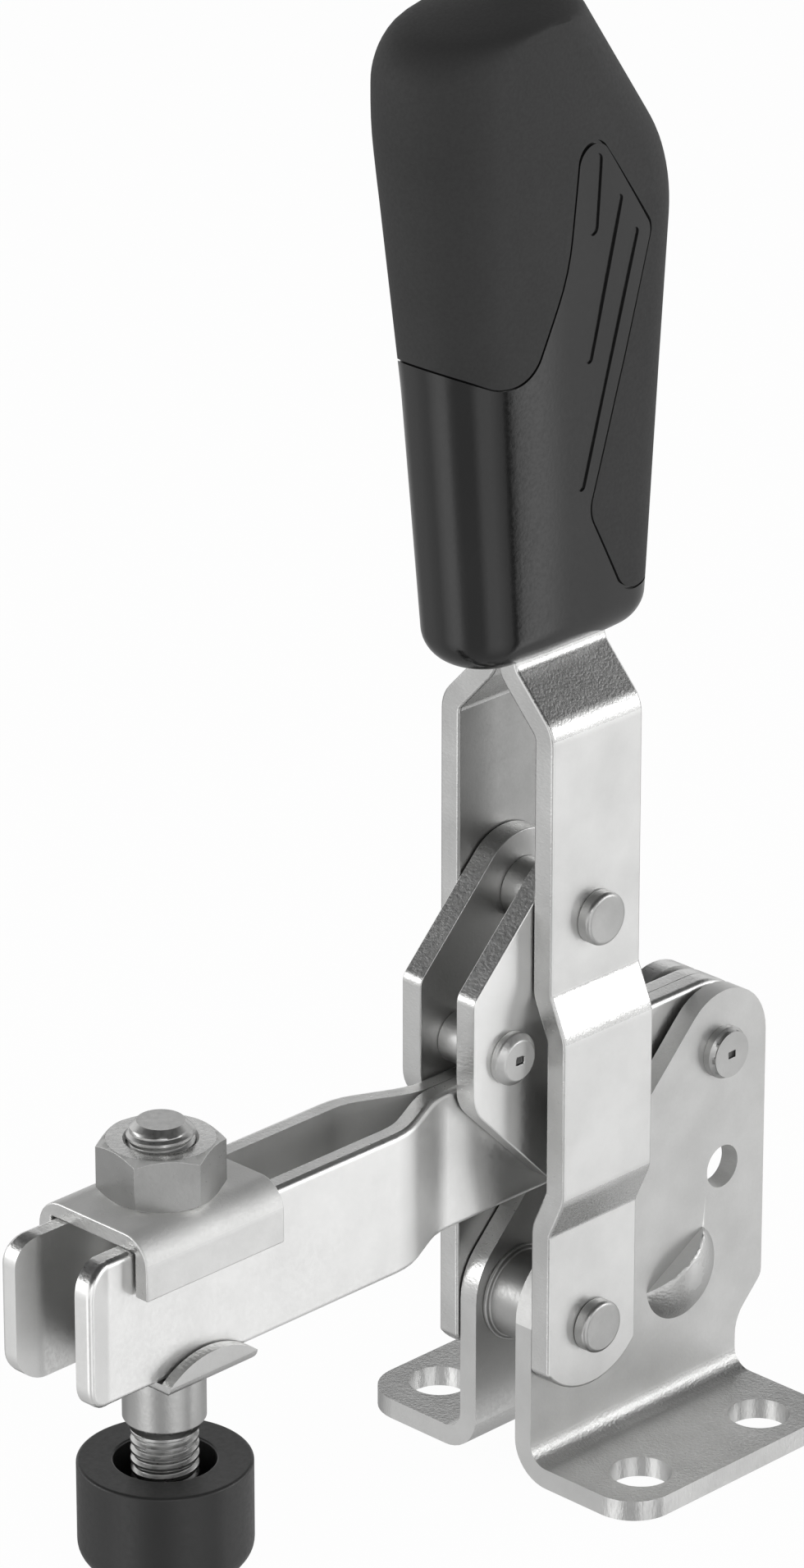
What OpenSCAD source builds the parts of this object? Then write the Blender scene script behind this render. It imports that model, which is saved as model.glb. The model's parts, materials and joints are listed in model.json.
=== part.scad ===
// Vertical hold-down toggle clamp, drawn closed and at full size in millimetres.
// The origin is the centre of the four foot holes, on the underside of the feet.
// X runs forward to the spindle, Y to the left and Z up.

/* [Base plates] */
// Length of each foot flange
foot_len = 36.4; // [34:0.2:42]
// Width over both feet
foot_w = 46.4; // [44:0.2:56]
// Thickness of the base sheet
base_t = 2.6; // [2.4:0.1:3]
// Radius inside the bend between wall and foot
foot_bend_r = 2.5; // [2:0.1:3]
// Radius of the outer corners of the feet
foot_corner_r = 5.5; // [4:0.1:6]
// Spacing of the foot holes along the clamp
hole_pitch_x = 21.1; // [19:0.1:22]
// Spacing of the foot holes across the clamp
hole_pitch_y = 33.8; // [32:0.1:36]
// Diameter of the foot holes
foot_hole_d = 7.6; // [6:0.1:8]
// How far the rear edge of each wall runs past the foot
wall_overhang = 4.6; // [3:0.1:5]
// Diameter of the small hole in each wall
wall_hole_d = 5.5; // [4:0.1:6]
// How far the domed stop is pressed out of each wall
stop_press = 2.4; // [1.8:0.1:2.6]
// Radius of the domed stop
stop_r = 6.1; // [5.6:0.1:6.6]

/* [Pivots] */
// Arm pivot, distance behind the origin
arm_pivot_back = 14.9; // [14:0.1:15.5]
// Arm pivot, height
arm_pivot_z = 46.4; // [45:0.1:49]
// Handle pivot, distance in front of the origin
handle_pivot_x = 11; // [10:0.1:12]
// Handle pivot, height
handle_pivot_z = 20; // [19:0.1:21]
// Distance from the handle pivot to the link's upper pivot
lever_len = 53.5; // [51:0.1:56]
// Height of the knee, where the link joins the arm
knee_z = 45.5; // [45:0.1:47]
// How far the knee lies past dead centre
past_centre = 0.5; // [0.3:0.1:1]
// Angle through which the handle opens, in degrees
handle_open = 61; // [55:1:63]
// Diameter of the rivet shanks
shank_d = 5; // [4:0.1:5.2]
// Diameter of the rivet heads
head_d = 6.6; // [6:0.1:7]
// Height of the rounded heads on the handle
round_head_h = 1.8; // [1.5:0.1:2.5]
// Height of the bevelled heads on the arm and the links
bevel_head_h = 1.7; // [1.4:0.1:2]
// Outside diameter of the bushes in the arm
arm_bush_d = 7.4; // [6.6:0.1:8]
// Outside diameter of the bush between the base walls
base_bush_d = 11; // [9:0.1:12]
// Outside diameter of the bush between the tops of the links
link_bush_d = 7.8; // [7:0.1:9]

/* [Arm] */
// Thickness of each arm plate
arm_t = 2.5; // [2:0.1:3]
// Height of the arm
arm_h = 18; // [17:0.1:20]
// Radius of the arm's rear end
arm_end_r = 8; // [7:0.1:9]
// Front end of the arm
arm_nose_x = 91.5; // [88:0.5:98]
// Where the plates begin to spread apart
arm_spread_x = 31.2; // [29.5:0.1:32]
// Length over which the plates spread apart
arm_spread_len = 8.3; // [7:0.1:10]

/* [Links] */
// Thickness of each link plate
link_t = 3; // [2.5:0.1:3.5]
// Radius of the link round its upper pivot
link_top_r = 7.3; // [6.5:0.1:7.5]
// Radius of the link round the knee
link_knee_r = 7.5; // [6.5:0.1:7.6]
// How far the front edge of the link stands before the stop rivet
link_lead = 6; // [5:0.1:6.5]
// Stop rivet, distance in front of the origin
stop_x = 22.2; // [21.5:0.1:23]
// Diameter of the stop rivet between the links
stop_d = 6.4; // [5:0.1:7]

/* [Handle] */
// Width of each handle strap
strap_w = 15.2; // [14:0.1:16]
// Thickness of each handle strap
strap_t = 3; // [2.4:0.1:3.2]
// How far the straps step out round the rivet heads
strap_step = 2.3; // [2:0.1:3]
// Start of the lower step, above the handle pivot
step_low = 14.3; // [13:0.1:15]
// Height over which each strap steps out or in
step_ramp = 5.2; // [4.6:0.1:6]
// Height of the stepped-out stretch
step_flat = 20.3; // [19:0.1:21]
// Where the straps bend towards each other, above the handle pivot
strap_bend = 78.1; // [75:0.1:82]
// Slope of the straps below the grip, in degrees from level
strap_slope = 47; // [40:1:55]
// Radius of the straps' lower ends
strap_end_r = 9.75; // [9:0.05:10.5]
// Length of the straps inside the grip
tang_len = 45; // [30:1:55]

/* [Grip] */
// Height of the grip
grip_h = 80; // [76:0.5:88]
// Half the thickness of the grip at its lower end
grip_half = 7.25; // [6.8:0.05:8]
// How much the grip thickens on each side towards its top
grip_swell = 1.75; // [1:0.05:2.5]
// Thickness of the soft cover
cover_t = 1.8; // [1.2:0.1:2.2]
// Width of the seam between cover and body
seam = 0.15; // [0.1:0.05:0.3]
// Width of the grooves in the side panels
groove_w = 1.5; // [1:0.1:1.8]
// Depth of the grooves in the side panels
groove_depth = 0.5; // [0.3:0.1:0.8]

/* [Spindle] */
// Spindle axis, distance in front of the origin
spindle_x = 73.2; // [66:0.2:77]
// Diameter of the spindle
spindle_d = 8; // [7:0.1:8.4]
// Length of the spindle
spindle_len = 55.3; // [52:0.1:60]
// How far the spindle stands above its nut
spindle_show = 2.2; // [1.5:0.1:4]
// Distance across the flats of the nut
nut_af = 13; // [12:0.1:13.2]
// Height of the nut
nut_h = 6.5; // [5.5:0.1:7]
// Thickness of the clip's sheet
clip_t = 2; // [1.6:0.1:2.4]
// Length of the clip along the arm
clip_len = 21.7; // [18:0.1:24]
// Depth of the clip's sides below the top of the arm
clip_side = 5.5; // [4:0.1:8]
// Thickness of the saddle washer
saddle_t = 1.5; // [1.2:0.1:2]
// Length of the saddle washer along the arm
saddle_len = 13.8; // [12:0.1:14.4]
// Height of the saddle's tabs up the sides of the arm
saddle_tab = 2.4; // [2.2:0.1:4]
// Diameter of the sleeve under the arm
sleeve_d = 9.8; // [9.6:0.1:11]
// Length of the sleeve under the arm
sleeve_len = 8.6; // [6:0.1:9]
// Diameter of the rubber cap
cap_d = 20.6; // [18:0.1:22]
// Height of the rubber cap
cap_h = 16.2; // [14:0.1:17]
// Diameter of the cap's mouth
cap_mouth_d = 12; // [9.5:0.1:12.4]
// Thickness of rubber under the spindle's head
cap_floor = 4; // [3:0.1:5]

/* [Clearances] */
// Gap between the arm plates where they run side by side
plate_gap = 0.1; // [0.05:0.05:0.3]
// Play between arm and base wall, each side
wall_play = 0.75; // [0.5:0.05:0.9]
// Play between arm and link, each side
link_play = 0.35; // [0.3:0.05:0.5]
// Play between a strap and what it passes, each side
strap_play = 0.2; // [0.15:0.05:0.4]
// Play between the spindle and the arm plates, each side
slot_play = 0.1; // [0.05:0.05:0.3]
// Play between the clip or saddle and the arm, each side
clip_play = 0.3; // [0.2:0.05:0.4]
// Running clearance on the radius of a turning pin
run_play = 0.05; // [0.02:0.01:0.08]
// Clearance on the radius of a pin that is held fast
seat_play = 0.02; // [0.01:0.01:0.04]

/* [Hidden] */
$fn = 96;

// Colours
zinc = [0.80, 0.81, 0.82];
rivet_steel = [0.68, 0.69, 0.70];
hard_black = [0.13, 0.13, 0.13];
soft_black = [0.20, 0.20, 0.20];
rubber_black = [0.07, 0.07, 0.07];

// Pivots in the side view, as [forward, up]
arm_pivot = [-arm_pivot_back, arm_pivot_z];
handle_pivot = [handle_pivot_x, handle_pivot_z];
link_top = handle_pivot + [0, lever_len];
knee = [handle_pivot_x - past_centre, knee_z];

// Distances from the middle plane to each layer of sheet
arm_rear_mid = (plate_gap + arm_t) / 2;
arm_rear_out = arm_rear_mid + arm_t / 2;
arm_front_in = spindle_d / 2 + slot_play;
arm_front_mid = arm_front_in + arm_t / 2;
arm_front_out = arm_front_in + arm_t;
wall_in = arm_rear_out + wall_play;
wall_out = wall_in + base_t;
link_in = arm_rear_out + link_play;
link_out = link_in + link_t;
strap_in = max(wall_out, link_out) + strap_play;
strap_mid = strap_in + strap_t / 2;
strap_out = strap_in + strap_t;
clip_in = arm_front_out + clip_play;

// Heights
arm_top = arm_pivot_z + arm_end_r;
arm_bottom = arm_top - arm_h;
clip_top = arm_top + clip_t;
nut_top = clip_top + nut_h;
spindle_top = nut_top + spindle_show;
spindle_foot = spindle_top - spindle_len;
sleeve_top = arm_bottom - saddle_t;

// Side view of the base walls
wall_edge_r = 7.6;
wall_front_r = 8.5;
wall_heel_r = 2;
wall_waist_r = 5;
wall_waist_z = 8.9;
foot_front = foot_len / 2;
wall_rear = foot_front + wall_overhang;
wall_slant = arm_pivot.x + arm_pivot.y + wall_edge_r * sqrt(2);
wall_hole = [-15.35, 30.7];

// Domed stop, placed along and beside the handle's open position
stop_gap = 0.3;
stop_along = 16.2;
stop_beside = strap_w / 2 + stop_gap;
stop_inset = 2.2;
stop_hollow_r = 4.6;
stop_hollow = 1.6;

// Stop rivet, seated above the top edge of the arm
stop_at = [stop_x, arm_top + stop_gap + stop_d / 2];
stop_neck_d = shank_d - 1;

// Centre of a strap's rounded lower end, above the handle pivot
strap_end_up = 1.6;

// Heads, collars and bends
head_edge_r = 0.6;
head_bevel = 0.8;
punch_mark = [1.2, 0.9];
punch_depth = 0.3;
collar_d = base_bush_d + 1.2;
collar_t = 0.6;
bend_r = 1.5;
spread_bend_r = 8;
link_front_r = 2;
link_low_r = 5;

// Nose of the arm
nose_r = 3.5;
nose_bend_len = 3.4;
nose_bend = 14;
nose_bend_r = 3;

// Handle and grip
tang_mid = (plate_gap + strap_t) / 2;
strap_join = handle_pivot_z + strap_bend + (strap_mid - tang_mid) * tan(strap_slope);
tang_top = strap_join + tang_len;
grip_seat = 1.9;
grip_z = strap_join + grip_seat;
grip_edge_r = 4;

// Side view of the grip: forward of the straps, share of the grip's height, and radius
grip_corners = [
    [-14.4, 0, 0],
    [16.6, 0, 0],
    [20, 0.428, 60],
    [24.4, 0.828, 40],
    [24.6, 0.95, 7],
    [3.3, 1.011, 6],
    [-16.5, 0.641, 22],
    [-16, 0.428, 60]
];

// Edge of the cover on each side: forward of the straps, share of the grip's height,
// radius, and which way the corner moves as the seam widens
bare_corners = [
    [40, 0.556, 0, 0, 1],
    [9.2, 0.431, 4, 1, 1],
    [3.1, 0.8, 2.2, 1, 1],
    [-9.2, 0.618, 2.5, -1, 1],
    [-5.4, 0.431, 30, -1, 0],
    [0.9, 0.217, 3, -1, 0],
    [-6, 0.067, 2.5, -1, 1],
    [-40, 0.067, 0, 0, 1]
];

// Grooves in each side panel: both ends, forward of the straps and share of the grip's height
grooves = [
    [[1.1, 0.758], [1.2, 0.638]],
    [[-3.1, 0.693], [1.5, 0.447]],
    [[-5.9, 0.63], [2.2, 0.25]]
];

// Spindle details
tip_r = 3.1;
tip_len = 1.9;
tip_edge = 0.2;
spindle_head_d = 13;
spindle_head_h = 5.5;
nut_turn = 22.5;
nut_face_inset = 0.2;
nut_ring_d = spindle_d + 0.8;
nut_ring_depth = 0.4;
clip_edge_r = 3.6;
saddle_edge_r = 1.7;
saddle_end_r = 1;
saddle_tab_r = 11.2;
sleeve_bevel = 0.8;
sleeve_cone = 1.4;
cap_edge_r = 0.4;
cap_side_r = 3;
cap_foot_d = 13;
cap_taper = 5;

arc_step = 9;
grip_points = 32;
eps = 0.01;

// Length-one vector along v
function unit(v) = v / norm(v);

// Points of the arc of radius r that rounds corner p between edges towards a and b
function corner(p, a, b, r) =
    r == 0 ? [p] :
    let (
        u = unit(a - p),
        v = unit(b - p),
        half = acos(max(-1, min(1, u * v))) / 2,
        centre = p + unit(u + v) * r / sin(half),
        first = p + u * r / tan(half) - centre,
        start = atan2(first.y, first.x),
        sweep = (180 - 2 * half) * sign(cross(v, u)),
        steps = ceil(abs(sweep) / arc_step)
    )
    [for (k = [0:steps]) let (w = start + sweep * k / steps) centre + r * [cos(w), sin(w)]];

// Closed outline through corners [x, y, radius]
function rounded(c) = [
    for (i = [0:len(c) - 1])
        let (a = c[(i + len(c) - 1) % len(c)], b = c[(i + 1) % len(c)])
        each corner([c[i].x, c[i].y], [a.x, a.y], [b.x, b.y], c[i].z)
];

// Corner of one face of a folded sheet, at distance d to the left of point i on its middle line
function face_corner(path, i, d, t) =
    let (
        p = [path[i].x, path[i].y],
        a = i > 0 ? unit(p - [path[i - 1].x, path[i - 1].y]) : undef,
        b = i < len(path) - 1 ? unit([path[i + 1].x, path[i + 1].y] - p) : undef,
        na = is_undef(a) ? [-b.y, b.x] : [-a.y, a.x],
        nb = is_undef(b) ? na : [-b.y, b.x],
        end = is_undef(a) || is_undef(b),
        q = p + d * (na + nb) / (1 + na * nb),
        inside = end ? false : d * cross(a, b) > 0
    )
    [q.x, q.y, end ? 0 : inside ? path[i].z : path[i].z + t];

// Section of a folded sheet of thickness t; path holds [x, y, radius inside the fold]
function folded(path, t) = rounded(concat(
    [for (i = [len(path) - 1:-1:0]) face_corner(path, i, t / 2, t)],
    [for (i = [0:len(path) - 1]) face_corner(path, i, -t / 2, t)]
));

// Side-view profile, forward and up, given thickness from y0 to y1
module upright(y0, y1) {
    translate([0, y1, 0]) rotate([90, 0, 0]) linear_extrude(y1 - y0) children();
}

// Front-view section, across and up, run forward from x0 to x1
module lengthwise(x0, x1) {
    translate([x0, 0, 0]) rotate([90, 0, 90]) linear_extrude(x1 - x0) children();
}

// Round pin or hole across the clamp at a side-view point
module across(at, y0, y1, d) {
    translate([at.x, y1, at.y]) rotate([90, 0, 0]) cylinder(d = d, h = y1 - y0);
}

// Something drawn upwards, turned to point left from distance y
module pointing_left(at, y) {
    translate([at.x, y, at.y]) rotate([-90, 0, 0]) children();
}

// The same thing on both sides of the middle plane
module both_sides() {
    children();
    mirror([0, 1, 0]) children();
}

// Flat rivet head with a rounded edge
module round_head() {
    e = head_edge_r;
    rotate_extrude() {
        square([head_d / 2 - e, round_head_h]);
        square([head_d / 2, round_head_h - e]);
        translate([head_d / 2 - e, round_head_h - e]) intersection() {
            circle(e);
            square(e);
        }
    }
}

// Rivet head with a bevelled edge and a punch mark
module bevel_head() {
    difference() {
        union() {
            cylinder(d = head_d, h = bevel_head_h - head_bevel);
            translate([0, 0, bevel_head_h - head_bevel])
                cylinder(d1 = head_d, d2 = head_d - 2 * head_bevel, h = head_bevel);
        }
        translate([0, 0, bevel_head_h])
            cube([punch_mark.x, punch_mark.y, 2 * punch_depth], center = true);
    }
}

// Plain ring with its axis across the clamp
module ring_across(at, half_len, d, bore) {
    difference() {
        across(at, -half_len, half_len, d);
        across(at, -half_len - eps, half_len + eps, bore);
    }
}

// Side view of a base wall, down to the underside of the foot
module wall_outline() {
    polygon(rounded([
        [foot_front, 0, 0],
        [foot_front, wall_slant - foot_front, wall_front_r],
        [-wall_rear, wall_slant + wall_rear, wall_edge_r],
        [-wall_rear, wall_waist_z + wall_overhang, wall_heel_r],
        [-foot_front, wall_waist_z, wall_waist_r],
        [-foot_front, 0, 0]
    ]));
}

// Round cap of radius r and height h on distance y, cut straight beside the open handle
module half_dome(y, r, h) {
    ball_r = (r ^ 2 + h ^ 2) / (2 * h);
    translate([handle_pivot.x, 0, handle_pivot.y]) rotate([0, -90 - handle_open, 0])
        translate([stop_along, y, stop_beside]) intersection() {
            translate([0, h - ball_r, stop_inset]) sphere(ball_r);
            translate([-r, -eps, 0]) cube([2 * r, h + 1, r + stop_inset + 1]);
        }
}

module base_plate() {
    section = [
        [wall_in + base_t / 2, 2 * arm_pivot_z, 0],
        [wall_in + base_t / 2, base_t / 2, foot_bend_r],
        [foot_w / 2, base_t / 2, 0]
    ];
    color(zinc) difference() {
        union() {
            intersection() {
                lengthwise(-wall_rear, foot_front) polygon(folded(section, base_t));
                union() {
                    upright(0, wall_out + foot_bend_r) wall_outline();
                    linear_extrude(base_t) polygon(rounded([
                        [-foot_front, 0, 0], [foot_front, 0, 0],
                        [foot_front, foot_w / 2, foot_corner_r],
                        [-foot_front, foot_w / 2, foot_corner_r]
                    ]));
                }
            }
            half_dome(wall_out, stop_r, stop_press);
        }
        half_dome(wall_in, stop_hollow_r, stop_hollow);
        for (x = [-1, 1])
            translate([x * hole_pitch_x / 2, hole_pitch_y / 2, -eps])
                cylinder(d = foot_hole_d, h = base_t + 2 * eps);
        across(wall_hole, wall_in - eps, wall_out + eps, wall_hole_d);
        for (at = [arm_pivot, handle_pivot])
            across(at, wall_in - eps, wall_out + eps, shank_d + 2 * seat_play);
    }
}
module base_plate_left() { base_plate(); }
module base_plate_right() { mirror([0, 1, 0]) base_plate(); }

module handle_pivot_rivet() {
    color(rivet_steel) {
        across(handle_pivot, -strap_out - run_play, strap_out + run_play, shank_d);
        both_sides() pointing_left(handle_pivot, strap_out + run_play) round_head();
    }
}

module handle_pivot_bush() {
    color(rivet_steel) difference() {
        union() {
            across(handle_pivot, -wall_in, wall_in, base_bush_d);
            both_sides() across(handle_pivot, wall_in - collar_t, wall_in, collar_d);
        }
        across(handle_pivot, -wall_in - eps, wall_in + eps, shank_d + 2 * seat_play);
    }
}

module arm_pivot_rivet() {
    color(rivet_steel) {
        across(arm_pivot, -wall_out, wall_out, shank_d);
        both_sides() pointing_left(arm_pivot, wall_out) bevel_head();
    }
}

module arm_pivot_bush() {
    color(rivet_steel) ring_across(arm_pivot, wall_in - run_play, arm_bush_d, shank_d + 2 * run_play);
}

// One arm plate: a flat bar, spread outwards ahead of the links and flared at the nose
module arm_plate() {
    tip = nose_bend_len + nose_r;
    rear = arm_pivot.x - arm_end_r;
    path = [
        [rear, arm_rear_mid, 0],
        [arm_spread_x, arm_rear_mid, spread_bend_r],
        [arm_spread_x + arm_spread_len, arm_front_mid, spread_bend_r],
        [arm_nose_x - nose_bend_len, arm_front_mid, nose_bend_r],
        [arm_nose_x - nose_bend_len + tip, arm_front_mid + tip * tan(nose_bend), 0]
    ];
    color(zinc) difference() {
        intersection() {
            translate([0, 0, arm_bottom - arm_h]) linear_extrude(3 * arm_h) polygon(folded(path, arm_t));
            upright(0, arm_front_out + tip) {
                translate(arm_pivot) circle(arm_end_r);
                polygon(rounded([
                    [arm_pivot.x, arm_top, 0],
                    [arm_pivot.x, arm_pivot.y - arm_end_r, 0],
                    [knee.x, arm_bottom, 0],
                    [arm_nose_x, arm_bottom, nose_r],
                    [arm_nose_x, arm_top, nose_r]
                ]));
            }
        }
        for (at = [arm_pivot, knee])
            across(at, 0, wall_out, arm_bush_d + 2 * seat_play);
    }
}
module arm_plate_left() { arm_plate(); }
module arm_plate_right() { mirror([0, 1, 0]) arm_plate(); }

// One link plate: rounded about both pivots, with a shoulder in front that carries the stop rivet
module link_plate() {
    front = stop_x + link_lead;
    lean = [1, 1] / sqrt(2);
    dip = [1, -1] / sqrt(2);
    top = link_top + lean * link_top_r;
    low = knee + dip * link_knee_r;
    color(zinc) difference() {
        upright(link_in, link_out) {
            translate(link_top) circle(link_top_r);
            translate(knee) circle(link_knee_r);
            polygon(rounded([
                [top.x, top.y, 0],
                [link_top.x - link_top_r, link_top.y, 0],
                [knee.x - link_knee_r, knee.y, 0],
                [low.x, low.y, 0],
                [front, low.y + front - low.x, link_low_r],
                [front, top.y + top.x - front, link_front_r]
            ]));
        }
        for (at = [link_top, knee])
            across(at, link_in - eps, link_out + eps, shank_d + 2 * seat_play);
        across(stop_at, link_in - eps, link_out + eps, stop_neck_d + 2 * seat_play);
    }
}
module link_plate_left() { link_plate(); }
module link_plate_right() { mirror([0, 1, 0]) link_plate(); }

module knee_rivet() {
    color(rivet_steel) {
        across(knee, -link_out, link_out, shank_d);
        both_sides() pointing_left(knee, link_out) bevel_head();
    }
}

module knee_bush() {
    color(rivet_steel) ring_across(knee, link_in - run_play, arm_bush_d, shank_d + 2 * run_play);
}

module stop_rivet() {
    color(rivet_steel) {
        across(stop_at, -link_in, link_in, stop_d);
        across(stop_at, -link_out, link_out, stop_neck_d);
        both_sides() pointing_left(stop_at, link_out) bevel_head();
    }
}

module link_top_bush() {
    color(rivet_steel) ring_across(link_top, link_in, link_bush_d, shank_d + 2 * seat_play);
}

module link_top_pin() {
    color(rivet_steel) across(link_top, -link_out, link_out, shank_d);
}

module strap_rivet() {
    color(rivet_steel) {
        across(link_top, strap_in, strap_out, shank_d);
        pointing_left(link_top, strap_out) round_head();
    }
}
module strap_rivet_left() { strap_rivet(); }
module strap_rivet_right() { mirror([0, 1, 0]) strap_rivet(); }

// One handle strap: stepped out round the rivet heads, then bent in to meet the other inside the grip
module handle_strap() {
    foot = handle_pivot + [0, strap_end_up];
    rise = handle_pivot_z + step_low;
    section = [
        [strap_mid, foot.y - strap_end_r, 0],
        [strap_mid, rise, bend_r],
        [strap_mid + strap_step, rise + step_ramp, bend_r],
        [strap_mid + strap_step, rise + step_ramp + step_flat, bend_r],
        [strap_mid, rise + 2 * step_ramp + step_flat, bend_r],
        [strap_mid, handle_pivot_z + strap_bend, bend_r],
        [tang_mid, strap_join, bend_r],
        [tang_mid, tang_top, 0]
    ];
    color(zinc) difference() {
        intersection() {
            lengthwise(foot.x - strap_w, foot.x + strap_w) polygon(folded(section, strap_t));
            upright(0, strap_out + strap_step + eps) intersection() {
                translate([foot.x - strap_w / 2, foot.y - strap_end_r]) square([strap_w, tang_top]);
                union() {
                    translate(foot) circle(strap_end_r);
                    translate([foot.x - strap_w, foot.y]) square([2 * strap_w, tang_top]);
                }
            }
        }
        across(handle_pivot, strap_in - eps, strap_out + eps, shank_d + 2 * run_play);
        across(link_top, strap_in - eps, strap_out + eps, shank_d + 2 * seat_play);
    }
}
module handle_strap_left() { handle_strap(); }
module handle_strap_right() { mirror([0, 1, 0]) handle_strap(); }

// Grip profile at height h above its lower end, measured from the middle of the straps
grip_outline = rounded([for (c = grip_corners) [c[0], c[1] * grip_h, c[2]]]);
grip_peak_x = grip_corners[5][0] + grip_corners[5][2] / 2;
front_table = [for (p = grip_outline) if (p.x > grip_peak_x) [p.y, p.x]];
rear_table = [for (p = grip_outline) if (p.x <= grip_peak_x) [p.y, p.x]];
function front_at(h) = lookup(h, front_table);
function rear_at(h) = lookup(h, rear_table);
function half_at(h) = lookup(h, [[0, grip_half], [0.4 * grip_h, grip_half + 0.4 * grip_swell],
    [0.75 * grip_h, grip_half + grip_swell]]);

// How far the rounded lower edge draws the outline in at height h
function edge_inset(h) =
    h >= grip_edge_r ? 0 : grip_edge_r - sqrt(grip_edge_r ^ 2 - (grip_edge_r - h) ^ 2);

// Ring of points round the grip at height h, drawn in by a skin of thickness s
function grip_ring(h, s) =
    let (
        inset = s + edge_inset(h),
        rear = rear_at(h) + inset,
        front = front_at(h) - inset,
        w = max(0.2, min(half_at(h) - inset, (front - rear) / 2 - 0.1))
    )
    [for (k = [0:grip_points - 1])
        let (a = 360 * (k + 0.5) / grip_points, end = cos(a) > 0 ? front - w : rear + w)
        [handle_pivot_x + end + w * cos(a), w * sin(a), grip_z + h]];

// Solid through rings of equal length, bottom ring first
module loft(rings) {
    n = len(rings[0]);
    last = (len(rings) - 1) * n;
    polyhedron(
        points = [for (r = rings) each r],
        faces = concat(
            [[for (k = [0:n - 1]) k]],
            [for (r = [0:len(rings) - 2], k = [0:n - 1])
                let (a = r * n + k, b = r * n + (k + 1) % n) [a, a + n, b + n, b]],
            [[for (k = [n - 1:-1:0]) last + k]]
        )
    );
}

// Whole grip inside a skin of thickness s
module grip_form(s) {
    low = [for (k = [0:4]) grip_edge_r * (1 - cos(22.5 * k))];
    mid = [for (k = [1:6]) grip_edge_r + (0.5 * grip_h - grip_edge_r) * k / 6];
    top = [for (k = [1:12]) 0.5 * grip_h + (0.5 * grip_h - s) * sin(7.5 * k)];
    loft([for (h = concat(low, mid, top)) grip_ring(h, s)]);
}

// Point of the side view, at a share of the grip's height
function on_grip(p) = [handle_pivot_x + p[0], grip_z + p[1] * grip_h];

// Side view of the part of the body that the cover leaves bare, grown by g
module bare_outline(g) {
    polygon(rounded(concat(
        [for (c = bare_corners) let (p = on_grip(c)) [p.x + g * c[3], p.y + g * c[4], c[2]]],
        [for (x = [-40, 40]) [handle_pivot_x + x, grip_z - grip_edge_r, 0]]
    )));
}

// Long groove between two points of the side view
module groove(a, b) {
    along = unit(b - a);
    side = [-along.y, along.x] * groove_w / 2;
    translate(a) circle(d = groove_w);
    translate(b) circle(d = groove_w);
    polygon([a + side, a - side, b - side, b + side]);
}

// Grooves of the left side panel, all of one depth below its surface
module panel_grooves() {
    difference() {
        upright(grip_half / 2, 2 * grip_half) for (g = grooves) groove(on_grip(g[0]), on_grip(g[1]));
        grip_form(groove_depth);
    }
}

// Slot for the ends of the two straps
module tang_slot() {
    half_w = strap_w / 2 + seat_play;
    half_t = tang_mid + strap_t / 2 + seat_play;
    translate([handle_pivot_x - half_w, -half_t, grip_z - eps])
        cube([2 * half_w, 2 * half_t, tang_top - grip_z + eps + seat_play]);
}

module grip_body() {
    color(hard_black) difference() {
        union() {
            grip_form(cover_t);
            intersection() {
                grip_form(0);
                upright(-2 * grip_half, 2 * grip_half) bare_outline(0);
            }
        }
        both_sides() panel_grooves();
        tang_slot();
    }
}

module grip_cover() {
    color(soft_black) difference() {
        grip_form(0);
        grip_form(cover_t);
        upright(-2 * grip_half, 2 * grip_half) bare_outline(seam);
    }
}

// Screw with a round head that sits inside the rubber cap
module spindle() {
    r = spindle_d / 2;
    color(zinc) translate([spindle_x, 0, spindle_foot]) rotate_extrude() polygon([
        [0, 0],
        [spindle_head_d / 2, 0],
        [spindle_head_d / 2, spindle_head_h],
        [r, spindle_head_h],
        [r, spindle_len - tip_len],
        [tip_r, spindle_len - tip_len + r - tip_r],
        [tip_r, spindle_len - tip_edge],
        [tip_r - tip_edge, spindle_len],
        [0, spindle_len]
    ]);
}

module lock_nut() {
    face_r = nut_af / 2 - nut_face_inset;
    corner_r = nut_af / 2 / cos(30);
    far_r = corner_r + 1;
    bevel = (far_r - face_r) * tan(30);
    color(rivet_steel) translate([spindle_x, 0, clip_top]) difference() {
        intersection() {
            rotate([0, 0, nut_turn]) cylinder(r = corner_r, h = nut_h, $fn = 6);
            rotate_extrude() polygon([
                [0, 0], [face_r, 0], [far_r, bevel], [far_r, nut_h - bevel], [face_r, nut_h], [0, nut_h]
            ]);
        }
        translate([0, 0, -eps]) cylinder(d = spindle_d + 2 * seat_play, h = nut_h + 2 * eps);
        translate([0, 0, nut_h - nut_ring_depth])
            cylinder(d1 = spindle_d, d2 = nut_ring_d + eps, h = nut_ring_depth + eps);
    }
}

// Channel folded over the top edges of the arm
module clamp_clip() {
    low = arm_top - clip_side;
    color(zinc) difference() {
        lengthwise(spindle_x - clip_len / 2, spindle_x + clip_len / 2) difference() {
            polygon(rounded([
                [-clip_in - clip_t, low, 0],
                [clip_in + clip_t, low, 0],
                [clip_in + clip_t, clip_top, clip_edge_r],
                [-clip_in - clip_t, clip_top, clip_edge_r]
            ]));
            translate([-clip_in, low - eps]) square([2 * clip_in, clip_side + eps]);
        }
        translate([spindle_x, 0, arm_top - eps])
            cylinder(d = spindle_d + 2 * slot_play, h = clip_t + 2 * eps);
    }
}

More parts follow.
